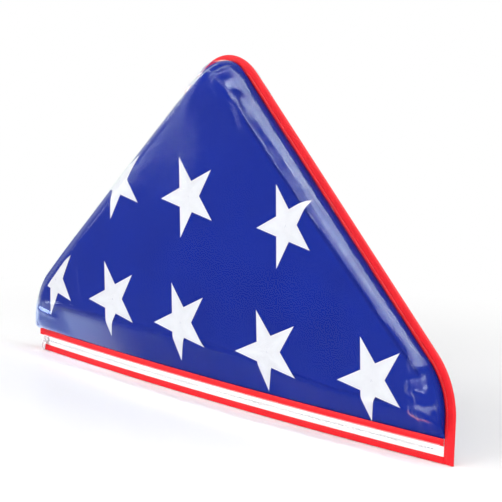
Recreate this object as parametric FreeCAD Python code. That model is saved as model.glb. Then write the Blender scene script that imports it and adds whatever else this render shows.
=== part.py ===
import FreeCAD, Part
import math
import os
from FreeCAD import Vector

# A soft display case for a folded flag: two clear vinyl windows sewn together round the edge under a folded
# red binding, a zipper strip across the foot, and the flag inside. Millimetres, X along the foot,
# -Y towards the viewer, Z up, origin on the table under the middle of the case.

# Outline of the case, at the outer edge of the binding
case_width = 635.0
shoulder_height = 76.0
slope_angle = 43.0
shoulder_radius = 80.0
crown_radius = 56.0

# Clear vinyl windows
vinyl_thickness = 0.5
half_depth = 30.0
face_bow = 17.0
edge_roll = 20.0
back_wall = 2.0
roll_crease = 2.0
seam_margin = 0.5
foot_flare = 32.0

# Binding folded over the seam
binding_width = 11.5
binding_thickness = 0.7

# Zipper strip across the foot
lower_hem_height = 6.7
zipper_height = 9.8
upper_hem_height = 6.9
hem_thickness = 0.6
tape_thickness = 0.6
tape_tuck = 6.0
strip_bow = 11.0
strip_end_depth = 1.0
ply_gap = 0.1

# Zipper elements and stops
element_height = 2.0
element_thickness = 1.3
element_gap = 0.7
bead_height = 0.8
tooth_pitch = 4.4
tooth_root = 1.9
tooth_head = 1.3
tooth_recess = 0.15
stop_length = 2.0
stop_inset = 1.5

# Guard behind the elements, which keeps the flag's cloth out of them
guard_thickness = 0.5
guard_overlap = 2.0
guard_end_inset = 24.0

# Slider and its pull
slider_length = 9.0
slider_wall = 1.2
slider_nose = 2.6
slider_shoulder = 0.3
slider_taper = 0.7
slider_bulge = 0.7
slider_tail = 1.2
slider_inset = 9.0
running_gap = 0.3
post_height = 0.3
bridge_span = 6.0
bridge_wire = 1.3
bridge_leg = 1.4
bridge_leg_height = 1.8
bridge_rise = 2.2
bridge_lift = 1.0
pull_length = 11.0
pull_thickness = 1.2
pull_neck_width = 3.2
pull_ring_width = 6.4
pull_ring_length = 8.4
pull_rim = 1.4
pull_eye_wall = 0.8
pull_eye_width = 2.6

# Folded flag and its stars
flag_clearance = 1.2
flag_foot_inset = 4.5
star_radius = 43.5
star_turn = 45.0
star_thickness = 0.5
star_points = 5
front_star_places = [(-260, 89), (-150, 84), (-33, 78), (96, 70), (232, 66),
                     (-146, 212), (-26, 208), (117, 196)]
back_star_places = [(-235, 70), (-108, 74), (19, 78), (146, 82), (-96, 198), (31, 202)]

# Places that follow from the sizes above
back_roll = half_depth + roll_crease - back_wall
strip_height = lower_hem_height + zipper_height + upper_hem_height
chain_height = lower_hem_height + zipper_height / 2
strip_half = case_width / 2 - binding_width
band_half = strip_half - ply_gap
tape_radius = (strip_half ** 2 + strip_bow ** 2) / (2 * strip_bow)
strip_centre = tape_radius - strip_bow - strip_end_depth
window_radius = tape_radius + ply_gap + vinyl_thickness
seam_inset = binding_width + seam_margin
flag_inset = vinyl_thickness + flag_clearance
slope = math.radians(slope_angle)
sharp_apex = shoulder_height + case_width / 2 * math.tan(slope)
case_height = sharp_apex - crown_radius * (1 / math.cos(slope) - 1)
slider_place = -math.asin((strip_half - slider_inset) / tape_radius)
tape_front = -strip_bow - strip_end_depth
row_reach = element_gap / 2 + element_height
plate_inner = element_thickness + running_gap
plate_outer = plate_inner + slider_wall
flange_reach = row_reach + running_gap + slider_wall
rear_outer = -tape_thickness - running_gap
guard_front = tape_radius + rear_outer - slider_wall - running_gap
bar_y = tape_front - plate_outer - bridge_rise
bar_height = chain_height + bridge_lift
edge_tolerance = 1e-6


def seen_from_front(x, z):
    """A point of the seam plane."""
    return Vector(x, 0, z)


def case_outline(inset, foot):
    """The case's outline, drawn in by inset and closed straight across at the height of its foot."""
    half_width = case_width / 2 - inset
    shoulder_turn = math.pi / 2 - slope
    shoulder = shoulder_height - inset * math.tan(shoulder_turn / 2)
    apex = sharp_apex - inset / math.cos(slope)
    bend = shoulder_radius - inset
    crown = crown_radius - inset
    bend_run = bend * math.tan(shoulder_turn / 2)
    crown_run = crown * math.tan(slope)
    bend_start = (half_width, shoulder - bend_run)
    bend_middle = (half_width - bend + bend * math.cos(shoulder_turn / 2),
                   shoulder - bend_run + bend * math.sin(shoulder_turn / 2))
    bend_end = (half_width - bend_run * math.cos(slope), shoulder + bend_run * math.sin(slope))
    crown_end = (crown_run * math.cos(slope), apex - crown_run * math.sin(slope))
    right = [seen_from_front(*place) for place in (bend_start, bend_middle, bend_end, crown_end)]
    left = [Vector(-point.x, 0, point.z) for point in right]
    top = seen_from_front(0, apex - crown / math.cos(slope) + crown)
    right_foot = seen_from_front(half_width, foot)
    left_foot = seen_from_front(-half_width, foot)
    lines = [Part.LineSegment(right_foot, right[0]),
             Part.Arc(*right[:3]),
             Part.LineSegment(right[2], right[3]),
             Part.Arc(right[3], top, left[3]),
             Part.LineSegment(left[3], left[2]),
             Part.Arc(*left[2::-1]),
             Part.LineSegment(left[0], left_foot),
             Part.LineSegment(left_foot, right_foot)]
    return Part.Wire([line.toShape() for line in lines])


def outline_plate(inset, front, back, foot=0.0):
    """A plate of the case's outline between two depths."""
    face = Part.Face(case_outline(inset, foot))
    face.translate(Vector(0, front, 0))
    return face.extrude(Vector(0, back - front, 0))


def mirrored_to_back(shape):
    """The same piece on the other side of the seam plane."""
    return shape.mirror(Vector(0, 0, 0), Vector(0, 1, 0))


def arc_band(inner, outer, low, high, left=-band_half, right=band_half):
    """A band that follows the bow of the foot, between two radii, two heights and two ends."""
    centre = Vector(0, strip_centre, low)

    def on_arc(radius, angle):
        return centre + Vector(radius * math.sin(angle), -radius * math.cos(angle), 0)

    start = math.asin(left / tape_radius)
    end = math.asin(right / tape_radius)
    middle = (start + end) / 2
    edges = [Part.Arc(on_arc(inner, start), on_arc(inner, middle), on_arc(inner, end)),
             Part.LineSegment(on_arc(inner, end), on_arc(outer, end)),
             Part.Arc(on_arc(outer, end), on_arc(outer, middle), on_arc(outer, start)),
             Part.LineSegment(on_arc(outer, start), on_arc(inner, start))]
    face = Part.Face(Part.Wire([edge.toShape() for edge in edges]))
    return face.extrude(Vector(0, 0, high - low))


def foot_lens(front_radius, back_radius, low, high):
    """A flat-sided lens between the front bow and the back bow of the foot."""
    front = Part.makeCylinder(front_radius, high - low, Vector(0, strip_centre, low))
    back = Part.makeCylinder(back_radius, high - low, Vector(0, -strip_centre, low))
    ends = Part.makeBox(2 * strip_half, 2 * half_depth, high - low, Vector(-strip_half, -half_depth, low))
    return front.common(back).common(ends)


def pillow(inset, roll):
    """The swelling over the flag: a slab with rolled edges, cut by bowed faces and by the narrowing foot."""
    depth = half_depth - inset
    slab_depth = depth + roll_crease
    rise = case_height - strip_height
    slab = outline_plate(seam_inset + inset, -slab_depth, slab_depth, strip_height)

    def round_a_face(edge):
        box = edge.BoundBox
        return box.YLength < edge_tolerance and box.ZMax > strip_height + edge_tolerance

    slab = slab.makeFillet(roll - inset, [edge for edge in slab.Edges if round_a_face(edge)])
    face_radius = ((case_width / 2) ** 2 + face_bow ** 2) / (2 * face_bow) - inset
    foot_radius = window_radius - inset
    top_radius = foot_radius + rise * math.tan(math.radians(foot_flare))
    for side in (1, -1):
        face_centre = Vector(0, side * (face_radius - depth), strip_height)
        slab = slab.common(Part.makeCylinder(face_radius, rise, face_centre))
        foot_centre = Vector(0, side * strip_centre, strip_height)
        slab = slab.common(Part.makeCone(foot_radius, top_radius, rise, foot_centre))
    return slab


def front_half(shape):
    """What lies on the viewer's side of the seam plane."""
    size = 2 * case_width
    return shape.common(Part.makeBox(size, size, size, Vector(-size / 2, -size, -size / 2)))


def window(lip_foot, roll):
    """One vinyl window: the swollen skin, its flat seam and the lip that runs down behind the hem."""
    skin = front_half(pillow(0, roll).cut(pillow(vinyl_thickness, roll)))
    edge = binding_thickness + ply_gap
    seam = outline_plate(edge, -vinyl_thickness, 0).cut(outline_plate(seam_inset, -vinyl_thickness, 0))
    mouth_half = strip_half + ply_gap
    mouth = Part.makeBox(2 * mouth_half, 2 * half_depth, strip_height, Vector(-mouth_half, -half_depth, 0))
    lip = arc_band(window_radius - vinyl_thickness, window_radius, lip_foot, strip_height)
    return skin.fuse([seam.cut(mouth), lip]).removeSplitter()


def edge_binding():
    """Tape folded over the seam: two legs and the fold, open at the foot."""
    outside = vinyl_thickness + ply_gap + binding_thickness
    inside = vinyl_thickness + ply_gap
    body = outline_plate(0, -outside, outside).cut(outline_plate(binding_width, -outside, outside))
    return body.cut(outline_plate(binding_thickness, -inside, inside))


def hem(inner, low, high):
    """A hem tape laid over the strip, between the two ends of the binding."""
    return arc_band(inner, inner + hem_thickness, low, high)


def zipper_tape(low, high):
    """One half of the zipper's woven tape."""
    return arc_band(tape_radius - tape_thickness, tape_radius, low, high)


def zipper_guard():
    """A tape on the base that stands behind the slider's rear plate and reaches past both element rows."""
    top = chain_height + row_reach + guard_overlap
    reach = strip_half - guard_end_inset
    return arc_band(guard_front - guard_thickness, guard_front, vinyl_thickness, top, -reach, reach)


def on_tape(low, high, left, right):
    """A raised piece on the front of the tape."""
    return arc_band(tape_radius + ply_gap, tape_radius + element_thickness, low, high, left, right)


def tooth(root, head):
    """One element at the middle of the strip: it narrows from its root in the bead to its head."""
    wide = tooth_root / 2
    narrow = tooth_head / 2
    profile = [(-wide, root), (wide, root), (narrow, head), (-narrow, head)]
    front = tape_front - element_thickness + tooth_recess
    back = tape_front - ply_gap - tooth_recess
    corners = [Vector(x, front, z) for x, z in profile]
    face = Part.Face(Part.makePolygon(corners + corners[:1]))
    return face.extrude(Vector(0, back - front, 0))


def element_row(side, stagger):
    """The elements along the edge of one tape: a bead, and teeth that point at the other row."""
    reach = strip_half - stop_inset - stop_length
    head = chain_height + side * element_gap / 2
    edge = head + side * element_height
    inner = edge - side * bead_height
    bead = on_tape(min(edge, inner), max(edge, inner), -reach, reach)
    single = tooth((edge + inner) / 2, head)
    count = int((reach - tooth_root) // tooth_pitch)
    teeth = []
    for step in range(-count, count):
        turned = single.copy()
        angle = (step + stagger) * tooth_pitch / tape_radius
        turned.rotate(Vector(0, strip_centre, 0), Vector(0, 0, 1), math.degrees(angle))
        teeth.append(turned)
    return bead.fuse(teeth)


def end_stop(side):
    """A crimped stop across both element rows at one end of the strip."""
    outer = strip_half - stop_inset
    left, right = sorted((side * outer, side * (outer - stop_length)))
    return on_tape(chain_height - row_reach, chain_height + row_reach, left, right)


def slider_block(start, end, inner, outer, low, high):
    """A block of the slider: along the strip, out from the tape and up from the chain's middle line."""
    corner = Vector(start, tape_front - outer, chain_height + low)
    return Part.makeBox(end - start, outer - inner, high - low, corner)


def at_slider(shape):
    """Carries a piece from the middle of the strip to the closed end, round the bow's own centre."""
    moved = shape.copy()
    moved.rotate(Vector(0, strip_centre, 0), Vector(0, 0, 1), math.degrees(slider_place))
    return moved


def slider_plate(inner, outer, reach):
    """A shield-shaped plate of the slider: round and wide at the nose, narrower at the tail."""
    half = slider_length / 2
    nose = reach + slider_shoulder
    tail = nose - slider_taper
    depth = tape_front - inner

    def spot(along, up):
        return Vector(along, depth, chain_height + up)

    edges = [Part.LineSegment(spot(-half, nose), spot(half - slider_tail, tail)),
             Part.Arc(spot(half - slider_tail, tail), spot(half, 0), spot(half - slider_tail, -tail)),
             Part.LineSegment(spot(half - slider_tail, -tail), spot(-half, -nose)),
             Part.Arc(spot(-half, -nose), spot(-half - slider_bulge, 0), spot(-half, nose))]
    face = Part.Face(Part.Wire([edge.toShape() for edge in edges]))
    return face.extrude(Vector(0, inner - outer, 0))


def slider_body():
    """Two plates joined by the post that parts the rows, with flanges that keep the rows together."""
    half = slider_length / 2
    front = slider_plate(plate_inner, plate_outer, flange_reach)
    rear = slider_plate(rear_outer - slider_wall, rear_outer, row_reach)
    post_reach = post_height / 2
    post = slider_block(-half, -half + slider_nose, rear_outer, plate_inner, -post_reach, post_reach)
    run = half - slider_tail
    flange_inner = flange_reach - slider_wall
    flange_outer = flange_reach + slider_shoulder - slider_taper
    upper = slider_block(-half, run, running_gap, plate_inner, flange_inner, flange_outer)
    lower = slider_block(-half, run, running_gap, plate_inner, -flange_outer, -flange_inner)
    return front.fuse([rear, post, upper, lower]).removeSplitter()


def along_bar(radius, length):
    """A round bar on the bridge's axis."""
    return Part.makeCylinder(radius, length, Vector(-length / 2, bar_y, bar_height), Vector(1, 0, 0))


def slider_bridge():
    """A loop on the slider's face: two square legs and a round bar along the strip between them."""
    bar = along_bar(bridge_wire / 2, bridge_span - bridge_leg)
    low = bridge_lift - bridge_leg_height / 2
    high = bridge_lift + bridge_leg_height / 2
    top = plate_outer + bridge_rise + bridge_leg_height / 2
    half = bridge_span / 2
    left = slider_block(-half, -half + bridge_leg, plate_outer, top, low, high)
    right = slider_block(half - bridge_leg, half, plate_outer, top, low, high)
    return bar.fuse([left, right]).removeSplitter()


def pull_tab():
    """A flat tab that hangs from the bridge by a round eye and ends in an oval ring."""
    eye_bore = bridge_wire / 2 + running_gap
    eye_radius = eye_bore + pull_eye_wall
    ring_foot = bar_height - pull_length
    ring_top = ring_foot + pull_ring_length
    front = bar_y - pull_thickness / 2

    def spot(across, up):
        return Vector(across, front, up)

    def oval(inset):
        reach = pull_ring_width / 2 - inset
        low = ring_foot + pull_ring_width / 2
        high = ring_top - pull_ring_width / 2
        edges = [Part.Arc(spot(-reach, low), spot(0, low - reach), spot(reach, low)),
                 Part.LineSegment(spot(reach, low), spot(reach, high)),
                 Part.Arc(spot(reach, high), spot(0, high + reach), spot(-reach, high)),
                 Part.LineSegment(spot(-reach, high), spot(-reach, low))]
        face = Part.Face(Part.Wire([edge.toShape() for edge in edges]))
        return face.extrude(Vector(0, pull_thickness, 0))

    neck_foot = ring_top - pull_rim
    neck = Part.makeBox(pull_neck_width, pull_thickness, bar_height - neck_foot,
                        Vector(-pull_neck_width / 2, front, neck_foot))
    neck = neck.cut(along_bar(eye_radius, pull_neck_width))
    solid = along_bar(eye_radius, pull_eye_width).fuse([oval(0), neck])
    return solid.cut(oval(pull_rim)).cut(along_bar(eye_bore, pull_eye_width)).removeSplitter()


def folded_flag():
    """The folded cloth: it fills the windows and stands on the base through the narrower foot."""
    foot_radius = tape_radius - flag_foot_inset
    foot = foot_lens(foot_radius, foot_radius, vinyl_thickness, strip_height)
    front = front_half(pillow(flag_inset, edge_roll))
    back = mirrored_to_back(front_half(pillow(flag_inset, back_roll)))
    return front.fuse([back, foot]).removeSplitter()


def star_prism(x, z):
    """A five-pointed star that runs from the seam plane out past the front of the flag."""
    inner_radius = star_radius * math.cos(2 * math.pi / star_points) / math.cos(math.pi / star_points)
    corners = []
    for step in range(2 * star_points):
        radius = inner_radius if step % 2 else star_radius
        angle = math.radians(star_turn) + step * math.pi / star_points
        corners.append(Vector(x + radius * math.sin(angle), 0, z + radius * math.cos(angle)))
    face = Part.Face(Part.makePolygon(corners + corners[:1]))
    return face.extrude(Vector(0, -half_depth, 0))


def star_group(places, roll):
    """Sewn-on stars that follow the flag's front and roll over its edge."""
    skin = front_half(pillow(flag_inset - star_thickness, roll).cut(pillow(flag_inset, roll)))
    return Part.Compound([skin.common(star_prism(x, z)) for x, z in places])


hem_foot = strip_height - upper_hem_height
upper_row_foot = chain_height + element_gap / 2
lower_row_top = chain_height - element_gap / 2
pieces = {
    "front_window": window(hem_foot, edge_roll),
    "back_window": mirrored_to_back(window(0, back_roll)),
    "base_panel": foot_lens(tape_radius - tape_thickness - ply_gap, tape_radius, 0, vinyl_thickness),
    "edge_binding": edge_binding(),
    "upper_hem_tape": hem(window_radius + ply_gap, hem_foot, strip_height),
    "lower_hem_tape": hem(tape_radius + ply_gap, 0, lower_hem_height),
    "rear_hem_tape": mirrored_to_back(hem(window_radius + ply_gap, 0, lower_hem_height)),
    "upper_zipper_tape": zipper_tape(upper_row_foot, hem_foot + tape_tuck),
    "lower_zipper_tape": zipper_tape(lower_hem_height - tape_tuck, lower_row_top),
    "zipper_guard": zipper_guard(),
    "upper_element_row": element_row(1, 0.25),
    "lower_element_row": element_row(-1, 0.75),
    "left_stop": end_stop(-1),
    "right_stop": end_stop(1),
    "slider_body": at_slider(slider_body()),
    "slider_bridge": at_slider(slider_bridge()),
    "pull_tab": at_slider(pull_tab()),
    "folded_flag": folded_flag(),
    "front_stars": star_group(front_star_places, edge_roll),
    "back_stars": mirrored_to_back(star_group(back_star_places, back_roll)),
}

os.makedirs("parts", exist_ok=True)
for name, shape in pieces.items():
    shape.exportStep(os.path.join("parts", name + ".step"))
    print(name, len(shape.Solids), "solids", round(shape.Volume, 1), "mm3, valid:", shape.isValid())
print("case", case_width, "x", 2 * half_depth, "x", round(case_height, 1), "mm")
bar = Vector(0, bar_y - strip_centre, bar_height)
bar_x = -bar.y * math.sin(slider_place)
bar_place = strip_centre + bar.y * math.cos(slider_place)
print("slider turns about y", round(strip_centre, 4), "from", round(math.degrees(slider_place), 4), "degrees")
print("pull turns about", round(bar_x, 4), round(bar_place, 4), bar_height)
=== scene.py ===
# %% [markdown]
# # A clear soft case for a folded flag
# A flag folded to a triangle stands in a pouch of clear vinyl, bound with red tape and closed along the foot
# by a zipper. The drawing gives the solids and the joints. This script loads it as a fixed frame, builds the
# soft pieces as real sheets in the same place, and gives every surface its finish. Lengths are metres.

# %% The drawing as a frame
import math

import bmesh
import bpy
import numpy as np
from mathutils import Matrix, Vector, noise


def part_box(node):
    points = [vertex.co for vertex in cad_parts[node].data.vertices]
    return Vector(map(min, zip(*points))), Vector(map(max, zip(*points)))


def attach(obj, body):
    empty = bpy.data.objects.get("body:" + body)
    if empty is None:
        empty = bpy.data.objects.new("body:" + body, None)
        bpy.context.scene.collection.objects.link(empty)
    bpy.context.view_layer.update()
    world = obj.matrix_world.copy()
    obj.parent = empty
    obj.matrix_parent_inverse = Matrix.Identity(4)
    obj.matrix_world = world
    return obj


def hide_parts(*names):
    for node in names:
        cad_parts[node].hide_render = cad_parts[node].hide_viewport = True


scene = bpy.context.scene
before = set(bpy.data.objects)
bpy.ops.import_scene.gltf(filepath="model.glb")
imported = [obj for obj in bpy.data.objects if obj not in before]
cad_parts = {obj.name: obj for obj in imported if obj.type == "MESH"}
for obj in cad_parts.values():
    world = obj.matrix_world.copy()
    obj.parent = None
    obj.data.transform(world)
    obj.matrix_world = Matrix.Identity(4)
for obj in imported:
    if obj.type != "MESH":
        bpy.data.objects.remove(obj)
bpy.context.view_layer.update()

# %% [markdown]
# ## The camera
# The picture was taken from the viewer's right with a long lens. The camera could be placed by eye, but its
# turn, lift and tilt were found from straight edges and star tips that show in the picture.

# %% Camera
picture_size = 502
focal_pixels = 1907.0
camera_turn = math.radians(47.483)
camera_lift = math.radians(8.796)
camera_tilt = math.radians(1.808)
camera_distance = 1.9
camera_aim = (0.03826, 0.0, 0.15909)

lens = bpy.data.cameras.new("picture_camera")
lens.lens = lens.sensor_width * focal_pixels / picture_size
camera = bpy.data.objects.new("picture_camera", lens)
turn = (Matrix.Rotation(camera_turn, 4, "Z") @ Matrix.Rotation(math.pi / 2 - camera_lift, 4, "X")
        @ Matrix.Rotation(camera_tilt, 4, "Z"))
camera.matrix_world = Matrix.Translation(camera_aim) @ turn @ Matrix.Translation((0, 0, camera_distance))
scene.collection.objects.link(camera)
scene.camera = camera
scene.view_settings.view_transform = "Standard"
print("lens:", round(lens.lens, 1), "mm")

# %% [markdown]
# ## Sizes of the pouch
# These are the drawing's own driving sizes. A sheet that follows the same numbers lies where its solid lies.

# %% Sizes
mm = 0.001
case_width = 635 * mm
shoulder_height = 76 * mm
shoulder_radius = 80 * mm
crown_radius = 56 * mm
slope = math.radians(43)
sharp_apex = shoulder_height + case_width / 2 * math.tan(slope)
half_depth = 30 * mm
face_bow = 17 * mm
edge_roll = 20 * mm
back_roll = 30 * mm
roll_crease = 2 * mm
binding_width = 11.5 * mm
seam_inset = binding_width + 0.5 * mm
pocket_inset = 9.5 * mm
pocket_crown = 33 * mm
least_crown = 4 * mm
foot_flare = math.tan(math.radians(32))
lower_hem_height = 6.7 * mm
hem_foot = 16.5 * mm
strip_height = 23.4 * mm
strip_half = case_width / 2 - binding_width
strip_bow = 11 * mm
tape_radius = (strip_half ** 2 + strip_bow ** 2) / (2 * strip_bow)
strip_centre = tape_radius - strip_bow - 1 * mm
window_radius = tape_radius + 0.6 * mm
flag_inset = 0.8 * mm
print("bow radius of the strip:", round(tape_radius, 3), "m")

# %% [markdown]
# ## The outline, drawn as loops
# The pouch is a wide triangle with a round crown and round shoulders. Every sheet is built from loops of
# this outline, each drawn in a little more than the last. A boolean could give the outline too, but loops
# keep the faces parallel to the rim, where the vinyl rolls over and where its highlights run.

# %% Outline loops
bend_count, slope_count, crown_count, side_count = 28, 72, 80, 24
foot_count = 2 * slope_count + crown_count - 2 * side_count
shoulder_turn = math.pi / 2 - slope


def line(start, end, count):
    """Evenly spaced points, without the last one."""
    return np.linspace(start, end, count, endpoint=False)


def arc(centre, radius, start, end, count):
    """Points on an arc, without its last one."""
    angles = line(start, end, count)
    return np.array(centre) + radius * np.stack([np.cos(angles), np.sin(angles)], 1)


def unit(rows):
    """Rows of directions, each of length 1."""
    return rows / np.linalg.norm(rows, axis=1)[:, None]


def outwards_of(run):
    """The direction to the right of each step of a loop, which leads outwards."""
    return unit(np.stack([run[:, 1], -run[:, 0]], 1))


def xyz(x, y, z):
    """Points from their three numbers."""
    return np.stack(np.broadcast_arrays(x, y, z), -1)


def rim_loop(inset, foot, crown=None):
    """The outline drawn in by an inset, from the right foot over the crown to the left foot and back."""
    half = case_width / 2 - inset
    bend = shoulder_radius - inset
    crown = crown_radius - inset if crown is None else crown
    bend_run = bend * math.tan(shoulder_turn / 2)
    side_top = shoulder_height - inset * math.tan(shoulder_turn / 2) - bend_run
    crown_centre = sharp_apex - inset / math.cos(slope) - crown / math.cos(slope)
    bend_end = (half - bend + bend * math.cos(shoulder_turn), side_top + bend * math.sin(shoulder_turn))
    crown_end = (crown * math.cos(shoulder_turn), crown_centre + crown * math.sin(shoulder_turn))
    mirror = np.array([-1, 1])
    return np.concatenate([
        line((half, foot), (half, side_top), side_count),
        arc((half - bend, side_top), bend, 0, shoulder_turn, bend_count),
        line(bend_end, crown_end, slope_count),
        arc((0, crown_centre), crown, shoulder_turn, math.pi - shoulder_turn, crown_count),
        line(crown_end * mirror, bend_end * mirror, slope_count),
        arc((bend - half, side_top), bend, math.pi - shoulder_turn, math.pi, bend_count),
        line((-half, side_top), (-half, foot), side_count),
        line((-half, foot), (half, foot), foot_count)])


def pocket_loop(inset, foot):
    """The rim of the stuffed pocket: it swells out past the seam, and furthest at the crown."""
    return rim_loop(pocket_inset + inset, foot, max(pocket_crown - inset, least_crown))


loop_count = len(rim_loop(0, 0))
foot_start = loop_count - foot_count
edge, sole = slice(0, foot_start + 1), slice(foot_start + 1, None)
print("outline:", loop_count, "points")

# %% [markdown]
# ## How far the pouch swells
# The stuffed pouch is thickest along its middle, bows in towards both ends, narrows at the foot to the
# zipper strip and rolls over to the seam at its rim. One depth function joins all four with a soft minimum,
# so that the folds between them are round. The flag inside uses it with an inset. As in the picture, the
# foot is slacker towards the left, and the roll of the left slope is rounder.

# %% Depth of the swelling
points_at_once = 2000
far_below = -0.2
left_fullness = 2.2 * mm
wall_height, crown_wall_cut, wall_share = 12 * mm, 7 * mm, 0.55
roll_gain, roll_rise, left_rise_drop = 6 * mm, 1.155, 0.145
left_slack, left_end_flare = 0.26, 0.3
bulge_out, bulge_height = 6 * mm, 7 * mm
wall_blend, foot_blend, roll_blend = 2 * mm, 1.6 * mm, 1.4 * mm


def rim_distance(x, z, inset):
    """How far points lie inside the pocket's rim, with the nearest rim point and its outward direction."""
    rim = pocket_loop(inset, far_below)[edge]
    start, run = rim[:-1], np.diff(rim, axis=0)
    outward = outwards_of(run)
    points = np.stack([np.ravel(x), np.ravel(z)], 1)
    foot, nearest = np.empty_like(points), np.empty(len(points), int)
    for first in range(0, len(points), points_at_once):
        part = slice(first, first + points_at_once)
        across, up = (points[part, axis, None] - start[:, axis] for axis in (0, 1))
        share = np.clip((across * run[:, 0] + up * run[:, 1]) / (run ** 2).sum(1), 0, 1)
        gap = (across - share * run[:, 0]) ** 2 + (up - share * run[:, 1]) ** 2
        nearest[part] = gap.argmin(1)
        best = share[np.arange(len(share)), nearest[part], None]
        foot[part] = start[nearest[part]] + best * run[nearest[part]]
    offset = points - foot
    gap = np.linalg.norm(offset, axis=1)
    signed = np.where((offset * outward[nearest]).sum(1) > 0, -gap, gap)
    return signed.reshape(np.shape(x)), foot, outward[nearest]


def ease(low, high, value):
    """A soft rise from 0 to 1 between two values."""
    share = np.clip((value - low) / (high - low), 0, 1)
    return share * share * (3 - 2 * share)


def soft_min(a, b, width):
    """The smaller of two depths, rounded where they meet."""
    blend = np.maximum(width - np.abs(a - b), 0) / width
    return np.minimum(a, b) - blend * blend * width / 4


def face_depth(x, inset):
    """Depth of the bowed face by itself, a little fuller on the left."""
    face_radius = ((case_width / 2) ** 2 + face_bow ** 2) / (2 * face_bow) - inset
    bow = np.sqrt(face_radius ** 2 - x ** 2) - (face_radius - half_depth + inset)
    return bow + left_fullness * ease(-0.12, -0.3, x)


def roll_profile(x, z, inset, side):
    """The rolled rim on one side: its reach inwards, its rise, and the depth at which it meets the wall."""
    if side > 0:
        reach = back_roll - inset
        return reach, reach, half_depth - inset + roll_crease - reach
    pinch = ease(0.300, 0.338, z)
    rounder = ease(0.0, -0.06, x)
    depth = face_depth(x, inset)
    wall = soft_min(wall_height - crown_wall_cut * pinch, wall_share * depth, wall_blend)
    reach = edge_roll - inset + roll_gain * np.maximum(pinch, rounder)
    return reach, (depth - wall) * (roll_rise - left_rise_drop * rounder), wall


def swell(x, z, inset, side):
    """Depth of the pouch in front of or behind the seam plane."""
    left_end = ease(-0.24, -0.30, x)
    flare = foot_flare * (1 - left_slack * ease(0.17, 0.03, x) + left_end_flare * left_end)
    above = np.maximum(z - strip_height, 0)
    foot = np.sqrt((window_radius - inset + above * flare) ** 2 - x ** 2) - strip_centre
    bulge = 1 - np.clip(above / bulge_height, 0, 1)
    foot = foot + bulge_out * left_end * np.sqrt(1 - bulge ** 2)
    reach, rise, wall = roll_profile(x, z, inset, side)
    share = 1 - np.clip(rim_distance(x, z, inset)[0] / reach, 0, 1)
    roll = wall + rise * np.sqrt(1 - share ** 2)
    return soft_min(soft_min(face_depth(x, inset), foot, foot_blend), roll, roll_blend)


print("depth at the middle:", round(float(face_depth(0.0, 0)), 4), "m")

# %% [markdown]
# ## From rows of points to a sheet
# All the cloth and vinyl is made from rows of points, joined by quads. Blender's grid would have to be bent
# afterwards, while rows can be placed where the real sheet lies. Each point's place along and across the
# cloth is kept as a UV map, so that a weave follows the tape round its corners.

# %% Sheet builder
merge_reach = 1e-6


def new_piece(name, points, faces, cloth=None):
    """A smooth mesh object, with each point's place on the cloth as a UV map where it is given."""
    mesh = bpy.data.meshes.new(name)
    mesh.from_pydata(np.reshape(points, (-1, 3)).tolist(), [], np.asarray(faces).tolist())
    if cloth is not None:
        places = np.reshape(cloth, (-1, 2))
        mesh.uv_layers.new(name="cloth").data.foreach_set("uv", places[np.ravel(faces)].ravel())
    mesh.polygons.foreach_set("use_smooth", [True] * len(faces))
    piece = bpy.data.objects.new(name, mesh)
    scene.collection.objects.link(piece)
    return piece


def sheet_from_rows(name, rows, around=False, cloth=None):
    """Joins rows of points with quads and closes the ring if asked."""
    rows = np.asarray(rows, float)
    index = np.arange(rows.shape[0] * rows.shape[1]).reshape(rows.shape[:2])
    if around:
        index = np.concatenate([index, index[:, :1]], 1)
    quads = np.stack([index[:-1, :-1], index[:-1, 1:], index[1:, 1:], index[1:, :-1]], -1).reshape(-1, 4)
    return new_piece(name, rows, quads, cloth)


def join_sheets(piece, *others):
    """Adds other sheets to a piece, merges points that lie on each other and turns all faces outwards."""
    mesh = bmesh.new()
    mesh.from_mesh(piece.data)
    for other in others:
        mesh.from_mesh(other.data)
        bpy.data.objects.remove(other)
    bmesh.ops.remove_doubles(mesh, verts=mesh.verts, dist=merge_reach)
    bmesh.ops.recalc_face_normals(mesh, faces=mesh.faces)
    mesh.to_mesh(piece.data)
    mesh.free()
    return piece


def points_of(piece):
    """A piece's points and their normals."""
    return (np.array([getattr(corner, kind) for corner in piece.data.vertices]) for kind in ("co", "normal"))


def set_points(piece, points):
    """Moves a piece's points to new places."""
    piece.data.vertices.foreach_set("co", np.ravel(points))
    piece.data.update()


def area_of(piece):
    """A piece's surface in square metres."""
    return sum(face.area for face in piece.data.polygons)


def dress(piece, finish, node=None):
    """Gives a piece its finish, puts it on the case and hides the drawn node it replaces."""
    piece.data.materials.append(finish)
    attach(piece, "case")
    if node:
        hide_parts(node)
    return piece


# %% [markdown]
# ## Shader maths as plain expressions
# Each finish is a small tree of nodes. One class wraps a socket, so that a sum or a product in Python adds
# the Math node that does it, and one method makes any other node.

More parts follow.
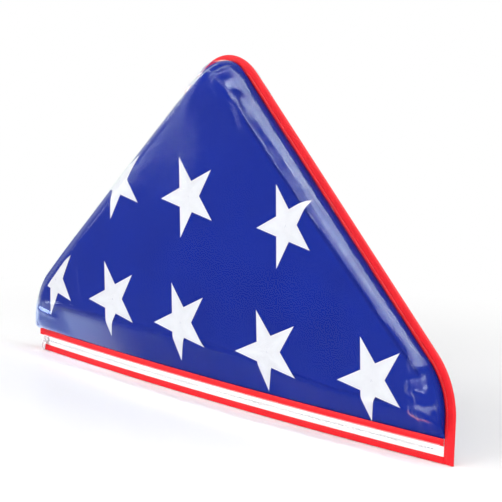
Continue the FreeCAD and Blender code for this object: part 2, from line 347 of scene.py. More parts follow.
# %% Socket wrapper
class Flow:
    """A value on its way through a shader tree."""

    def __init__(self, tree, socket=None):
        self.tree = tree
        self.socket = socket

    def node(self, kind, settings=None, sockets=None, out=0):
        """Any node: settings first, then values or links for its sockets."""
        node = self.tree.nodes.new("ShaderNode" + kind)
        for name, value in (settings or {}).items():
            setattr(node, name, value)
        for name, value in (sockets or {}).items():
            if isinstance(value, Flow):
                self.tree.links.new(value.socket, node.inputs[name])
            else:
                node.inputs[name].default_value = value
        return Flow(self.tree, node.outputs[out] if node.outputs else None)

    def maths(self, operation, *values):
        return self.node("Math", {"operation": operation}, dict(enumerate(values)))

    def __add__(self, other):
        return self.maths("ADD", self, other)

    __radd__ = __add__

    def __mul__(self, other):
        return self.maths("MULTIPLY", self, other)

    __rmul__ = __mul__

    def __pow__(self, power):
        return self.maths("POWER", self, power)

    def mix(self, low, high):
        """A colour between two, by this value."""
        return self.node("Mix", {"data_type": "RGBA"}, {0: self, 6: low, 7: high}, out=2)

    def rise(self, low, high):
        """A soft rise from 0 to 1 between two values."""
        return self.node("MapRange", {"interpolation_type": "SMOOTHSTEP"},
                         {"Value": self, "From Min": low, "From Max": high})

    def grain(self, scale, detail, **more):
        """Noise at this place."""
        return self.node("TexNoise", None, {"Vector": self, "Scale": scale, "Detail": detail, **more})

    def waves(self, way, scale, **more):
        """Bands across this place."""
        return self.node("TexWave", {"bands_direction": way}, {"Vector": self, "Scale": scale, **more}, out=1)

    def relief(self, strength, distance):
        """A bump by this height."""
        return self.node("Bump", None, {"Strength": strength, "Distance": distance, "Height": self})

    def looked_at(self):
        """1 where the camera, a mirror or a clear sheet looks straight at the surface."""
        seen, mirrored, passed = (self.node("LightPath", out="Is %s Ray" % way)
                                  for way in ("Camera", "Glossy", "Transmission"))
        return self.maths("MAXIMUM", seen, self.maths("MAXIMUM", mirrored, passed))

    def show(self, shader):
        """Sends a shader to the material's output."""
        self.node("OutputMaterial", None, {"Surface": shader})

    def coat(self, sockets):
        """Shows one plain surface."""
        self.show(self.node("BsdfPrincipled", None, sockets))


def new_finish(name):
    """An empty material, the start of its tree and the place on the piece."""
    material = bpy.data.materials.new(name)
    material.use_nodes = True
    material.node_tree.nodes.clear()
    paint = Flow(material.node_tree)
    print("finish:", name)
    return material, paint, paint.node("TexCoord", out="Object")


# %% [markdown]
# ## Royal blue cotton
# The flag is a plain cotton weave in deep blue. A picture of cloth would stretch over the folds, so the
# weave is two sets of fine waves crossed at the angle of the folded cloth, with soft patches of dye.

# %% Cotton finish
cotton, paint, place = new_finish("royal_cotton")
turned = paint.node("Mapping", None, {"Vector": place, "Rotation": (0, math.radians(45), 0)})
thread = turned.waves("X", 330.0, Distortion=0.6) * turned.waves("Z", 330.0, Distortion=0.6)
dye, fibre = place.grain(14.0, 4.0), place.grain(900.0, 2.0)
blue = (dye * 0.92 + thread * 0.08).mix((0.0006, 0.0098, 0.186, 1), (0.0012, 0.0180, 0.272, 1))
paint.coat({"Base Color": blue, "Roughness": 0.95, "Specular IOR Level": 0.04,
            "Normal": (thread + fibre * 0.5).relief(0.15, 0.0002)})

# %% [markdown]
# ## White star thread
# The stars are filled with white satin stitch. Each arm is stitched from both sides to its middle line, so
# the thread lies in slanted rows. Rows are waves along the arm's own UV direction, raised a little.

# %% Star finish
star_thread, paint, place = new_finish("star_thread")
rows = paint.node("UVMap", {"uv_map": "cloth"}).waves("X", 420.0, Distortion=1.2)
fuzz = place.grain(160.0, 5.0)
white = (rows * 0.35 + fuzz * 0.65).mix((0.86, 0.862, 0.875, 1), (0.97, 0.971, 0.975, 1))
paint.coat({"Base Color": white, "Roughness": 0.7, "Specular IOR Level": 0.1, "Sheen Weight": 0.03,
            "Normal": (rows + fuzz * 0.6).relief(0.6, 0.0008)})

# %% [markdown]
# ## Clear vinyl
# Soft vinyl lets nearly all light through and only mirrors what is bright. Refraction in so thin a sheet is
# not seen and costs noise, so the finish mixes a transparent shader with a gloss, by how far the surface
# turns away from the eye. Faint smears change the gloss from place to place. At the left of the foot a
# painted highlight is added: the gloss there is stronger and tinted blue, which brightens that patch.

# %% Vinyl finish
vinyl, paint, place = new_finish("clear_vinyl")
smear, ripple = place.grain(22.0, 5.0, Roughness=0.6), place.grain(38.0, 2.0)
turned_away = paint.node("LayerWeight", None, {"Blend": 0.5}, out=1)
# Painted highlight: a mask low at the left of the foot that raises the mirror share and tints the gloss blue.
left_way = paint.node("SeparateXYZ", None, {0: place}, out="X").rise(-0.1, -0.25)
foot_way = paint.node("SeparateXYZ", None, {0: place}, out="Z").rise(0.066, 0.046)
painted_sheen_foot = left_way * foot_way
mirror_share = 0.0095 + 3 * turned_away ** 8 + 1.7 * painted_sheen_foot * turned_away ** 3
gloss = paint.node("BsdfPrincipled", None, {
    "Base Color": painted_sheen_foot.mix((0.9, 1.0, 0.95, 1), (0.42, 0.56, 0.95, 1)), "Metallic": 1.0,
    "Roughness": 0.06 + 0.14 * smear, "Normal": ripple.relief(0.12, 0.002)})
clear = paint.node("BsdfTransparent", None, {"Color": (0.965, 0.97, 0.99, 1)})
paint.show(paint.node("MixShader", None, {0: mirror_share, 1: clear, 2: gloss}))

# %% [markdown]
# ## Red ribbon tape
# The binding and the hems are red polyester tape with fine ribs across it and a silky sheen. The ribs run
# across the tape wherever it goes, so they read the UV map: its first number runs along the tape.

# %% Ribbon finish
def ribbon_finish(name, dark, bright, rib_scale, roughness):
    """A woven tape: ribs across, finer threads along, and soft changes of tone."""
    material, paint, place = new_finish(name)
    cloth = paint.node("UVMap", {"uv_map": "cloth"})
    ribs = cloth.waves("X", rib_scale, Distortion=0.8, Detail=1.0)
    threads = cloth.waves("Y", rib_scale * 1.3, Distortion=0.8)
    patch = place.grain(60.0, 4.0)
    weave = ribs * 0.6 + threads * 0.4
    paint.coat({"Base Color": (weave * 0.4 + patch * 0.6).mix(dark, bright), "Roughness": roughness,
                "Specular IOR Level": 0.1, "Sheen Weight": 0.02,
                "Normal": (weave + patch * 0.3).relief(0.45, 0.0004)})
    return material


red_ribbon = ribbon_finish("red_ribbon", (0.52, 0.002, 0.006, 1), (0.95, 0.010, 0.020, 1), 360.0, 0.5)
white_tape = ribbon_finish("white_zipper_tape", (0.86, 0.86, 0.865, 1), (0.95, 0.95, 0.95, 1), 300.0, 0.75)

# %% [markdown]
# ## Sewing thread, nylon and nickel
# The small parts need three more finishes: twisted thread for the stitches, milky nylon for the zipper's
# elements, and the plated metal of the slider and its pull, finely scratched where fingers have rubbed it.

# %% Small finishes
def thread_finish(name, dark, bright):
    """Twisted thread: slanted strands and a little fuzz."""
    material, paint, place = new_finish(name)
    strands, fuzz = place.waves("DIAGONAL", 500.0), place.grain(700.0, 3.0)
    paint.coat({"Base Color": (strands * 0.5 + fuzz * 0.5).mix(dark, bright), "Roughness": 0.6,
                "Normal": strands.relief(0.4, 0.0002)})
    return material


red_thread = thread_finish("red_thread", (0.22, 0.002, 0.006, 1), (0.42, 0.006, 0.012, 1))
white_thread = thread_finish("white_thread", (0.62, 0.62, 0.63, 1), (0.84, 0.84, 0.85, 1))

nylon, paint, place = new_finish("zipper_nylon")
flow_mark = place.grain(240.0, 4.0)
paint.coat({"Base Color": flow_mark.mix((0.91, 0.91, 0.91, 1), (0.97, 0.97, 0.965, 1)),
            "Roughness": 0.28 + 0.2 * flow_mark, "Subsurface Weight": 1.0, "Subsurface Scale": 0.003,
            "Subsurface Radius": (1, 1, 1), "Normal": flow_mark.relief(0.15, 0.0003)})

nickel, paint, place = new_finish("bright_nickel")
long_way = paint.node("Mapping", None, {"Vector": place, "Scale": (400, 2200, 2200)})
scratch, dull = long_way.grain(1.0, 5.0), place.grain(180.0, 3.0)
paint.coat({"Base Color": dull.mix((0.58, 0.58, 0.59, 1), (0.74, 0.74, 0.745, 1)), "Metallic": 1.0,
            "Roughness": 0.22 + 0.2 * scratch, "Normal": scratch.relief(0.08, 0.0002)})

# %% [markdown]
# ## The folded flag
# The flag is a thick bundle of folded cloth that fills the pouch. It is built as one closed skin: rows from
# the middle of the front out to the rim, across the rim, and in again over the back, with the narrower
# foot that stands on the pouch's base.

# %% Flag bundle
turn_start = side_count + bend_count // 2
half_loop = loop_count // 2
roll_steps, face_steps, rim_rows = 30, 120, 25
seam_depth, least_curl = 1.5 * mm, 0.4 * mm
flag_foot_gap, flag_foot_height, flag_seam_gap = 4.5 * mm, 0.5 * mm, 1.8 * mm


def roll_rows(inset):
    """Loops of (x, z) over the roll of the rim, from the pocket's edge inwards."""
    loops = []
    for share in np.arange(roll_steps + 1) / roll_steps:
        drawn_in = (edge_roll - inset) * (0.4 * share + 0.6 * share ** 2)
        loops.append(pocket_loop(inset + drawn_in, strip_height + 9 * mm * share))
    return np.array(loops)


def face_rows(loop):
    """Rows of (x, z) across the face inside a loop, from its upper half down to its lower half."""
    upper = np.roll(loop, -turn_start, 0)[:half_loop + 1]
    lower = np.roll(loop, -turn_start, 0)[np.arange(loop_count, half_loop - 1, -1) % loop_count]
    even = np.arange(face_steps + 1) / face_steps
    shares = 0.35 * even + 0.65 * (1 - np.cos(math.pi * even)) / 2
    return upper + shares[:, None, None] * (lower - upper)


def with_depth(rows, inset, side):
    """Adds the swelling's depth to rows of (x, z)."""
    depth = swell(rows[..., 0], rows[..., 1], inset, side)
    return xyz(rows[..., 0], side * depth, rows[..., 1])


def from_seam(seam, pocket, depth, wall):
    """A loop from the seam to the pocket's edge, at a depth: the vinyl turns outwards in a round curl."""
    curl = np.maximum(wall_share * wall - seam_depth, least_curl)
    share = np.clip((np.abs(depth) - seam_depth) / curl, 0, 1)
    return seam + np.sqrt(1 - (1 - share) ** 2)[..., None] * (pocket - seam)


def lip_depth(x, radius):
    """Depth of the strip's bow."""
    return np.sqrt(radius ** 2 - x ** 2) - strip_centre


flag_roll = roll_rows(flag_inset)
flag_face = face_rows(flag_roll[-1])
front = with_depth(flag_roll, flag_inset, -1)[::-1]
back = with_depth(flag_roll, flag_inset, 1)
rim = np.repeat(front[-1][None], rim_rows, 0)
front_wall, back_wall = front[-1, edge, 1], back[0, edge, 1]
rim[:, edge, 1] = front_wall + np.linspace(0, 1, rim_rows)[:, None] * (back_wall - front_wall)
flag_seam = rim_loop(seam_inset + flag_seam_gap, strip_height)[edge]
wall = np.where(rim[:, edge, 1] < 0, -front_wall, back_wall)
rim[:, edge, [0, 2]] = from_seam(flag_seam, rim[:, edge, [0, 2]], rim[:, edge, 1], wall)
way = np.linspace(-1, 1, rim_rows)[:, None]
sole_depth = np.maximum(lip_depth(rim[0, sole, 0], tape_radius - flag_foot_gap), 0.3 * mm)
sole_rise = np.maximum(np.abs(way) - 0.4, 0) / 0.6 * (strip_height - flag_foot_height) + flag_foot_height
rim[:, sole, 1] = np.clip(way * 2.5, -1, 1) * sole_depth
rim[:, sole, 2] = sole_rise
rim[:, sole, 0] *= 0.93 + 0.07 * sole_rise / strip_height
flag_skin = sheet_from_rows("flag_bundle", np.concatenate([front, rim[1:-1], back]), around=True)
faces = [sheet_from_rows("flag_face", with_depth(flag_face, flag_inset, side)) for side in (-1, 1)]
flag = join_sheets(flag_skin, *faces)
print("flag:", len(flag.data.vertices), "points")

# %% [markdown]
# Folded cloth is never as smooth as a drawing. Each point moves in along its normal by a slow noise, and
# near the rim by grooves between the layers. It only moves inwards, so it stays clear of the vinyl. The
# creases that show through the vinyl are drawn as chains of straight folds.

# %% Flag folds
layer_pitch = 5.2 * mm
slack_depth, ripple_depth, groove_depth = 0.2 * mm, 0.08 * mm, 0.9 * mm
crease_pull = 3.4


def ridge(points, start, end, width, height):
    """How far a drawn fold lifts each point: full along its line, fading to its ends and sides."""
    start, end = np.array(start) * mm, np.array(end) * mm
    flat = points[:, [0, 2]]
    run = end - start
    along = ((flat - start) * run).sum(1) / (run ** 2).sum()
    off = np.linalg.norm(flat - start - np.clip(along, 0, 1)[:, None] * run, axis=1)
    fade = np.clip(np.minimum(along, 1 - along) * 4 + 0.6, 0, 1)
    return height * mm * fade * np.exp(-(off / (width * mm)) ** 2)


def crease(width, corners, heights):
    """A chain of straight folds through corners, each with its height."""
    return [(start, end, width, height) for start, end, height in zip(corners, corners[1:], heights)]


def rumple(points, scale=1.0, shift=(0, 0, 0)):
    """Slow noise at each point."""
    return np.array([noise.noise(Vector(point) * scale + Vector(shift)) for point in points])


slope_corners = [(36, 322), (54, 293), (78, 269), (131, 222), (180, 177), (242, 119), (284, 80)]
foot_corners = [(-300, 42), (-281, 41), (-254, 56), (-164, 61), (-71, 63), (38, 61), (120, 54), (181, 48),
                (259, 50)]
creases = crease(1.1, slope_corners, [-0.9] * 6)
creases += crease(1.3, foot_corners, [-0.5, -0.8, -0.9, -0.7, -0.7, -0.7, -0.8, -0.8])
points, normals = points_of(flag)
slack, ripple = rumple(points, 21.0), rumple(points, 75.0, (4, 1, 7))
to_rim = np.abs(rim_distance(points[:, 0], points[:, 2], flag_inset)[0])
near_rim = ease(16 * mm, 2 * mm, to_rim)
groove = (1 - np.abs(np.sin(points[:, 1] / layer_pitch * math.pi + 0.35 * slack))) ** 3
pressed = sum(ridge(points, *fold) for fold in creases) * (points[:, 1] < 0)
inward = slack_depth * (1 - slack) + ripple_depth * (1 - ripple) + groove_depth * groove * near_rim
inward = inward - crease_pull * pressed
set_points(flag, points - normals * inward[:, None])
dress(flag, cotton, "folded_flag")
print("flag folds up to", round(float(inward.max()) / mm, 2), "mm deep")

# %% [markdown]
# ## The stars
# The fold leaves a few stars on each face, raised and turned with the cloth. Those near the rim go round it,
# so a star is first laid out flat and then every point is carried over the roll by its distance.

# %% Stars
star_radius = 43.5 * mm
star_turn = math.radians(45)
star_lean = 0.09
star_steps = 12
edge_lift, face_lift, arm_lift = 0.12, 0.22, 0.12
tuck_line, tuck_depth = (14.6 * mm, 14.0 * mm), 2.2 * mm
front_places = [(-259, 89, 0.84), (-150, 84, 1.0), (-33, 78, 1.0), (96, 70, 1.04), (230, 66, 0.95),
                (-146, 212, 1.0), (-26, 208, 1.0), (115, 196, 0.9)]
back_places = [(-235, 70, 1.0), (-108, 74, 1.0), (19, 78, 1.0), (146, 82, 1.0), (-96, 198, 1.0),
               (31, 202, 1.0)]


def lay_on_flag(x, z, lift, side):
    """Carries flat points on to the flag's face and round its rolled rim."""
    radius, full_rise, wall = roll_profile(x, z, flag_inset, side)
    inside, foot, outward = rim_distance(x, z, flag_inset)
    rise = np.clip(face_depth(x, flag_inset) - wall, 0, full_rise)
    crease_angle = np.arccos(rise / full_rise)
    past = np.maximum(radius * (1 - np.sin(crease_angle)) - inside, 0)
    angle = crease_angle + past / radius
    over = np.minimum(angle, math.pi / 2)
    drawn_in = np.where(past > 0, radius * (1 - np.sin(over)), inside)
    flat = foot - outward * drawn_in[:, None]
    depth = swell(flat[:, 0], flat[:, 1], flag_inset, side)
    depth = np.where(angle > math.pi / 2, wall - (angle - math.pi / 2) * radius, depth)
    tilt = np.where(past > 0, over, 0)
    lifted = flat + outward * (lift * np.sin(tilt))[:, None]
    return xyz(lifted[:, 0], side * (depth + lift * np.cos(tilt)), lifted[:, 1])


def star_pattern():
    """One star laid flat, ten facets raised along the arms: points, heights, places on the cloth and faces."""
    inner = star_radius * math.cos(2 * math.pi / 5) / math.cos(math.pi / 5)
    angles = star_turn + np.arange(11) * math.pi / 5
    radii = np.where(np.arange(11) % 2, inner, star_radius)
    corners = np.stack([radii * np.sin(angles), radii * np.cos(angles)], 1)
    spots, heights, cloth, faces = [], [], [], []
    for facet in range(10):
        for row in range(star_steps + 1):
            for column in range(row + 1):
                here, out, across = len(spots), row / star_steps, column / max(row, 1)
                to_arm = across if facet % 2 else 1 - across
                raised = ease(0, 0.06, 1 - out)
                spots.append(out * (corners[facet] + across * (corners[facet + 1] - corners[facet])))
                heights.append((edge_lift + face_lift * raised + arm_lift * to_arm * raised) * mm)
                cloth.append(((out + 0.35 * to_arm) * star_radius, (1 - to_arm) * star_radius))
                if column:
                    faces.append((here - row - 1, here - 1, here))
                if 0 < column < row:
                    faces.append((here - row - 1, here, here - row))
    return np.array(spots), np.array(heights), np.array(cloth), np.array(faces)


def sew_stars(name, node, places, side):
    """One piece with all the stars of a face."""
    spots, heights, cloth, faces = star_pattern()
    flat = [np.array([x, z]) * mm + spots * [width, 1.0] + star_lean * spots[:, 1:] * [1.0, 0.0]
            for x, z, width in places]
    flat, count = np.concatenate(flat), len(places)
    faces = np.concatenate([faces + star * len(spots) for star in range(count)])
    tucked = ease(*tuck_line, rim_distance(flat[:, 0], flat[:, 1], flag_inset)[0])
    tucked = tucked * (flat[:, 0] < -0.2) * (side < 0)
    lift = np.tile(heights, count) - tuck_depth * tucked
    points = lay_on_flag(flat[:, 0], flat[:, 1], lift, side)
    stars = join_sheets(new_piece(name, points, faces, np.tile(cloth, (count, 1))))
    dress(stars, star_thread, node)
    print(name, count, "stars,", len(stars.data.vertices), "points")


sew_stars("front_star_field", "front_stars", front_places, -1)
sew_stars("back_star_field", "back_stars", back_places, 1)

# %% [markdown]
# ## The vinyl windows
# Each window is one sheet of soft vinyl: a flat margin inside the seam, a wall, the roll over the rim, the
# bowed face, and a lip behind the hem. Where the sheet is gathered into the seam it makes small ridges. A
# cloth simulation would fold it somewhere else each time a size changes, so the ridges are drawn, each with
# a start, an end, a width and a height, and lift the sheet along its normal.

# %% Vinyl sheet
margin_inset, margin_depth = 0.9 * mm, 0.3 * mm
wall_steps = (0.03, 0.07, 0.13, 0.17, 0.22, 0.28, 0.36, 0.45, 0.6, 0.8)
crown_gathers = [
    ((-4, 346), (-22, 329), 2.2, 2.0), ((4, 341), (-10, 327), 1.8, 1.3),
    ((17, 342), (5, 330), 2.0, 2.0), ((8, 329), (27, 324), 4.5, 2.4),
    ((28, 323), (35, 311), 1.8, -0.9), ((37, 314), (53, 309), 2.2, 2.4),
    ((44, 307), (62, 298), 3.2, 1.5), ((53, 318), (60, 312), 1.6, 1.4),
    ((68, 306), (75, 299), 1.6, 1.2), ((-30, 325), (-40, 312), 2.6, 1.4)]
corner_pleats = [
    ((275, 88), (303, 86), 6.0, 6.4), ((274, 67), (304, 66), 6.0, 6.4),
    ((284, 60), (298, 60), 20.0, 2.0), ((284, 74), (304, 80), 1.5, 2.2),
    ((277, 48), (304, 46), 5.5, 4.4)]
left_folds = [((-284, 57), (-252, 61), 2.6, 0.9), ((-300, 50), (-262, 46), 3.5, 1.2),
              ((-252, 60), (-205, 66), 2.6, 0.5), ((-214, 110), (-206, 72), 2.2, 0.6)]
drawn_folds = crown_gathers + corner_pleats + left_folds
deepest_fold, wave_height, slack_height = -0.9 * mm, 0.9 * mm, 0.3 * mm


def flop(flat, outward, inset):
    """Bends the soft margin back about the seam on the left: how far it goes back, and its new place."""
    free = np.clip(seam_inset - inset, 0, None)
    bend = 24 + 22 * ease(26 * mm, 8 * mm, flat[:, 1])
    angle = np.radians(bend) * ease(-0.025, -0.075, flat[:, 0])
    return free * np.sin(angle), flat - outward * (free * (1 - np.cos(angle)))[:, None]


def vinyl_rows(side, lip_foot):
    """Rows of one window: loops from its outer margin over the roll, then rows across the face."""
    roll = roll_rows(0)
    inner = with_depth(roll, 0, side)
    x_foot = np.clip(inner[0, sole, 0], 1 * mm - strip_half, strip_half - 1 * mm)
    seam = rim_loop(seam_inset, strip_height)
    wall = np.abs(inner[0, :, 1])
    hidden = rim_loop(margin_inset, margin_depth)
    outward = unit(hidden - seam)
    bend, hidden = flop(hidden, outward, margin_inset)
    outer = [xyz(hidden[:, 0], side * margin_depth + bend, hidden[:, 1])]
    for share in wall_steps:
        depth = np.maximum(share * wall, (0.4 + 4 * share) * mm * np.minimum(1, wall / (4.5 * mm)))
        flat = from_seam(seam, inner[0][:, [0, 2]], depth, wall)
        outer.append(xyz(flat[:, 0], side * depth, flat[:, 1]))
    for step, row in enumerate(outer):
        row[sole, 0] = x_foot
        row[sole, 1] = side * lip_depth(x_foot, window_radius - 0.2 * mm)
        row[sole, 2] = lip_foot + step / len(outer) * (strip_height - lip_foot)
    return np.concatenate([np.array(outer), inner]), with_depth(face_rows(roll[-1]), 0, side)


def dress_window(name, node, side, lip_foot, folds):
    """Builds one window, lifts its folds and gives it its finish."""
    margin, face = vinyl_rows(side, lip_foot)
    window = join_sheets(sheet_from_rows(name, margin, around=True), sheet_from_rows(name + "_face", face))
    points, normals = points_of(window)
    outwards = np.where((normals[:, 1] * side < 0)[:, None], -normals, normals)
    to_rim = rim_distance(points[:, 0], points[:, 2], 0)[0]
    fade_in = (9 - 5.5 * ease(0.31, 0.325, points[:, 2])) * mm
    lift = sum(ridge(points, *fold) for fold in folds) * ease(0.5 * mm, fade_in, to_rim)
    lift = lift * ease(strip_height, strip_height + 10 * mm, points[:, 2])
    lift = lift + slack_height * rumple(points, 26.0) * ease(0, 20 * mm, to_rim)
    along = points[:, 0] * math.cos(slope) - points[:, 2] * math.sin(slope)
    waves = rumple(xyz(along * 34.0, to_rim * 70.0, 5.0))
    beside_fold = ease(3 * mm, 9 * mm, to_rim) * ease(34 * mm, 18 * mm, to_rim)
    lift = lift + wave_height * waves * beside_fold
    set_points(window, points + outwards * np.maximum(lift, deepest_fold)[:, None])
    dress(window, vinyl, node)


dress_window("front_vinyl", "front_window", -1, hem_foot, drawn_folds)
mirrored_folds = [((-a[0], a[1]), (-b[0], b[1]), width, 0.5 * height) for a, b, width, height in drawn_folds]
dress_window("back_vinyl", "back_window", 1, margin_depth, mirrored_folds)

# %% [markdown]
# ## The base sheet
# The foot of the pouch is closed by a narrow lens of the same vinyl that lies on the table. It is built
# from rows between the two bows and sags a hair towards its middle.

# %% Base sheet
base_height, base_sag = 0.25 * mm, 0.15 * mm
base_x = np.linspace(-0.98 * strip_half, 0.98 * strip_half, 121)
base_depth = np.maximum(lip_depth(base_x, tape_radius - 0.5 * mm), 0.3 * mm)
base_rows = []
for share in np.linspace(-1, 1, 9):
    base_rows.append(xyz(base_x, share * base_depth, base_height + base_sag * share * share))
base_vinyl = dress(sheet_from_rows("base_vinyl", base_rows), vinyl, "base_panel")
print("base sheet:", round(area_of(base_vinyl) * 1e4, 1), "cm2")

# %% [markdown]
# ## The red binding
# A ribbon is folded over the seam and sewn through. It is one strip whose section is a narrow U, swept along
# the rim, and it dips at every hole of the needle. Every tape is laid so, from the rows of its section.

# %% Binding
rim_step, stitch_pitch = 0.8 * mm, 3.2 * mm
stitch_inset = 8.6
edge_wander, needle_dip = 0.25 * mm, 0.28 * mm
leg_section = [(11.5, 0.66), (11.35, 0.95), (10.8, 1.18), (9.6, 1.2), (8.6, 0.95), (7.6, 1.2), (5.5, 1.28),
               (3.0, 1.29), (1.2, 1.27), (0.45, 1.05), (0.1, 0.5)]
section = [(inset, -depth) for inset, depth in leg_section] + [(0.0, 0.0)] + leg_section[::-1]


def lay_tape(name, node, finish, slot, run, rows, profile, **held):
    """A tape from the rows of its section, with its places along and across it for the weave."""
    steps = [math.dist(start, end) * mm for start, end in zip(profile, profile[1:])]
    widths = np.concatenate([[0.0], np.cumsum(steps)])
    places = [np.stack([run, np.full_like(run, width)], 1) for width in widths]
    tape = dress(sheet_from_rows(name, rows, cloth=places), finish, node)
    print(name, round(widths[-1] / mm, 1), "mm wide when flat")


rim = rim_loop(0, 0.2 * mm)[edge]
rim_run = np.concatenate([[0], np.cumsum(np.linalg.norm(np.diff(rim, axis=0), axis=1))])
along = np.linspace(0, rim_run[-1], int(rim_run[-1] / rim_step))
spots = np.stack([np.interp(along, rim_run, rim[:, axis]) for axis in (0, 1)], 1)
outward = outwards_of(np.gradient(spots, axis=0))
wander = rumple(xyz(along * 60.0, 0.0, 3.0))
needle = 0.5 + 0.5 * np.cos(2 * math.pi * along / stitch_pitch)
rows = []
for inset, depth in section:
    shift = edge_wander * wander * (inset * mm / binding_width) ** 2
    dip = needle_dip * needle * math.exp(-((inset - stitch_inset) / 0.9) ** 2) * math.copysign(1, -depth)
    flat = spots - outward * (inset * mm + shift)[:, None]
    bend, flat = flop(flat, outward, inset * mm)
    rows.append(xyz(flat[:, 0], depth * mm + dip + bend, flat[:, 1]))
lay_tape("binding_tape", "edge_binding", red_ribbon, "red_tape", along, rows, section, held="folded",
         rests_on=["front_vinyl", "back_vinyl"])

# %% [markdown]
# ## Stitches
# A lockstitch shows as a row of short beads on both sides of the tape. Each is a thin capsule of a few rings,
# and all the beads of a seam are one piece. A geometry-node scatter could place them, but a loop over the
# seam's own points keeps each bead on the holes that the tape shows.

# %% Stitch builder
bead_rings = [(0.0, 0.25), (0.15, 0.8), (0.5, 1.0), (0.85, 0.8), (1.0, 0.25)]
bead_sides = 6


def sew_beads(name, holes, side, radius, finish=red_thread, gap=0.12):
    """Beads of thread from hole to hole, on the front or the back of a tape."""
    step = holes[1:] - holes[:-1]
    starts, ends = holes[:-1] + gap * step, holes[1:] - gap * step
    run, out = ends - starts, np.array([0.0, side, 0.0])
    across = np.cross(unit(run), out)
    layers = []
    for share, width in bead_rings:
        for angle in 2 * math.pi * np.arange(bead_sides) / bead_sides:
            ring_point = math.cos(angle) * across + math.sin(angle) * out
            layers.append(starts + share * run + radius * width * ring_point)
    points = np.stack(layers, 1)
    ring = np.arange(len(layers)).reshape(len(bead_rings), bead_sides)
    turned = np.roll(ring, -1, 1)
    quads = np.stack([ring[:-1], turned[:-1], turned[1:], ring[1:]], -1).reshape(-1, 4)
    quads = (quads[None] + (np.arange(len(points)) * len(layers))[:, None, None]).reshape(-1, 4)
    dress(new_piece(name, points, quads), finish)
    print(name, len(points), "stitches")


holes = np.arange(1, int(along[-1] / stitch_pitch)) * stitch_pitch
hole_bend, hole_line = flop(spots - outward * stitch_inset * mm, outward, stitch_inset * mm)
hole_x, hole_z = (np.interp(holes, along, hole_line[:, axis]) for axis in (0, 1))
hole_y = np.interp(holes, along, hole_bend)
for name, side in (("binding_stitches_front", -1), ("binding_stitches_back", 1)):
    hole_points = xyz(hole_x, side * 1.0 * mm + hole_y, hole_z)
    sew_beads(name, hole_points, side, 0.26 * mm)

# %% [markdown]
# ## Hems of the zipper strip
# A red tape with both edges turned under runs above the zipper, another below it, and a third along the
# foot at the back. Each is one strip: turned edge, face, turned edge. It follows the bow of the foot.

# %% Hem tapes
hem_reach = strip_half + 0.4 * mm
hem_pitch = 2.6 * mm
hem_dip, hem_wave = 0.12 * mm, 0.12 * mm
stitch_row = 0.5
turned_edge = [(3.3, 0.06), (1.0, 0.05), (0.25, 0.08), (0.0, 0.3), (0.25, 0.52), (1.0, 0.58),
               (1.6, stitch_row), (2.4, 0.6)]


def on_bow(x, radius, height, side):
    """Points on the bow of the foot at a radius and a height."""
    return xyz(x, side * lip_depth(x, radius), height)


def lay_hem(name, node, side, radius, low, high, rest, left_reach=hem_reach):
    """A tape with turned edges, between two heights on the bow, from its left end to the right one."""
    run_x = np.linspace(-left_reach, hem_reach, 501)
    tall = (high - low) / mm
    profile = turned_edge + [(tall / 2, 0.62)] + [(tall - up, out) for up, out in turned_edge[::-1]]
    wave = rumple(xyz(run_x * 45.0, high * 90.0, 2.0))
    needle = 0.5 + 0.5 * np.cos(2 * math.pi * run_x / hem_pitch)
    rows = []
    for up, out in profile:
        dip = hem_dip * needle if out == stitch_row else 0.0
        height = low + up * mm + hem_wave * wave * math.sin(math.pi * up / tall)
        rows.append(on_bow(run_x, radius + out * mm - dip, height, side))
    lay_tape(name, node, red_ribbon, "red_tape", run_x, rows, profile, held="folded", rests_on=rest)


outer_bow = window_radius + 0.1 * mm
inner_bow = tape_radius + 0.1 * mm
lay_hem("upper_hem", "upper_hem_tape", -1, outer_bow, hem_foot, strip_height, ["front_vinyl"],
        hem_reach + 4 * mm)
lay_hem("lower_hem", "lower_hem_tape", -1, inner_bow, 0.1 * mm, lower_hem_height, ["base_vinyl"],
        hem_reach - 4.5 * mm)
lay_hem("rear_hem", "rear_hem_tape", 1, outer_bow, 0.1 * mm, lower_hem_height, ["back_vinyl"])

# %% [markdown]
# A white zigzag of thread holds the lower edge of the upper hem to the zipper's tape, and straight red
# stitches run along the other edges of the hems.

# %% Hem stitches
zig_x = np.arange(-hem_reach + 4 * mm, hem_reach - 4 * mm, 1.3 * mm)
zig_z = hem_foot + np.where(np.arange(len(zig_x)) % 2, 1.15 * mm, 0.15 * mm)
zig = on_bow(zig_x, outer_bow + 0.6 * mm, zig_z, -1)
sew_beads("upper_hem_zigzag", zig, -1, 0.15 * mm, white_thread, gap=0.0)
for name, side, radius, hem_top in (("upper_hem_stitches", -1, outer_bow, strip_height),
                                    ("lower_hem_stitches", -1, inner_bow, lower_hem_height),
                                    ("rear_hem_stitches", 1, outer_bow, lower_hem_height)):
    run_x = np.arange(-hem_reach + 7 * mm, hem_reach - 3 * mm, hem_pitch)
    hem_holes = on_bow(run_x, radius + stitch_row * mm, hem_top - 1.6 * mm, side)
    sew_beads(name, hem_holes, side, 0.2 * mm)

# %% [markdown]
# ## The zipper's tapes
# The two halves of the zipper are woven white tapes with a thick corded edge where the elements sit. Each
# is one strip that runs up behind its hem and curls back on itself along the cord.

# %% Zipper tapes
cord_section = [(1.3, 0.5), (0.5, 0.52), (0.12, 0.42), (0.0, 0.28), (0.12, 0.12), (0.5, 0.03), (1.2, 0.04),
                (1.9, 0.14), (2.6, 0.08)]
cord_gap = 0.18 * mm


